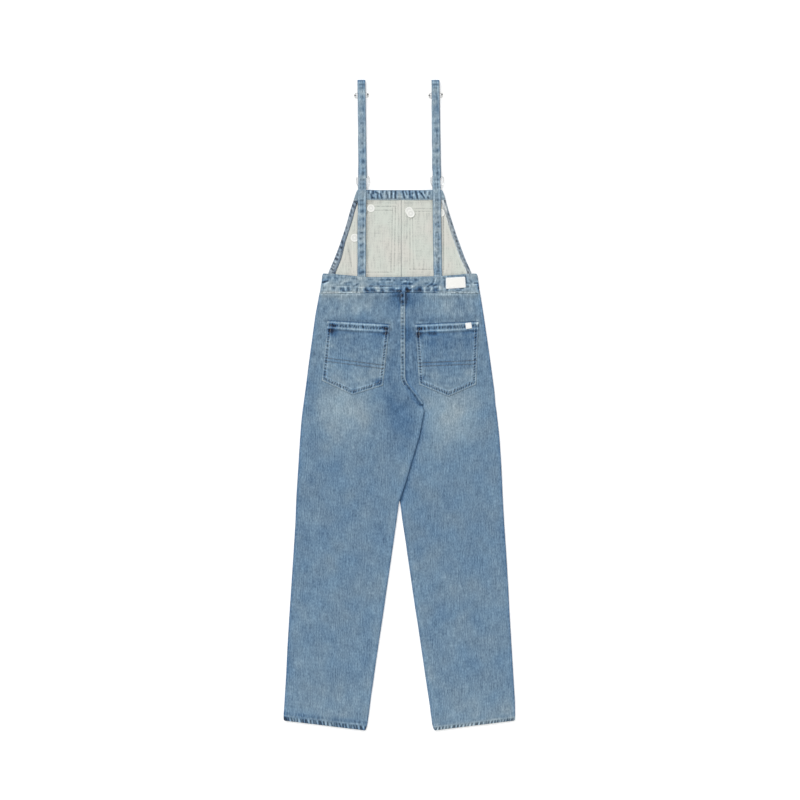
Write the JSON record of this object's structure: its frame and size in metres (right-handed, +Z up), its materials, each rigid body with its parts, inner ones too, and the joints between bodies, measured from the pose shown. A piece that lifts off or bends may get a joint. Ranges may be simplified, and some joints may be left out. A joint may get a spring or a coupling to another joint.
{
  "type": "denim dungarees",
  "caption": "Denim dungarees laid flat on their front, back up, with a bib, buckled straps over it, patch back pockets and straight legs, one lapped over the other.",
  "frame": {"origin": "on the surface the garment lies on, under the middle of its outline", "axes": "+X across the garment towards the wearer's right, +Y up the garment from the hems to the strap folds, +Z up from the surface, out of the garment's back"},
  "size_m": [0.558, 1.5615, 0.0097],
  "materials": {
    "denim": "washed mid-blue denim twill, faded at the seat and roped at the seams",
    "denim_inside": "pale grey-beige wrong side of the denim",
    "metal": "bright nickel",
    "disc": "white, low sheen, bare",
    "label": "plain off-white, bare"
  },
  "bodies": {
    "root": {"front_leg_left": "denim", "front_leg_right": "denim", "back_leg_left": "denim", "back_leg_right": "denim", "seat_seam": "denim", "waistband_back": "denim", "waistband_front": "denim", "back_pocket_left": "denim", "back_pocket_right": "denim", "label_patch": "label", "pocket_tab": "label", "bib_left": "denim_inside", "bib_right": "denim_inside", "bib_facing": "denim", "bib_hem_left": "denim", "bib_hem_right": "denim", "bib_pocket_left": "denim", "bib_pocket_right": "denim", "strap_left": "denim", "strap_right": "denim", "slider_left": "metal", "slider_right": "metal", "buckle_left": "metal", "buckle_right": "metal", "bib_button_left": "metal", "bib_button_right": "metal", "disc_pocket_left": "disc", "disc_side": "disc", "disc_middle_lower": "disc", "disc_middle_upper": "disc", "disc_pocket_right": "disc"}
  },
  "joints": []
}
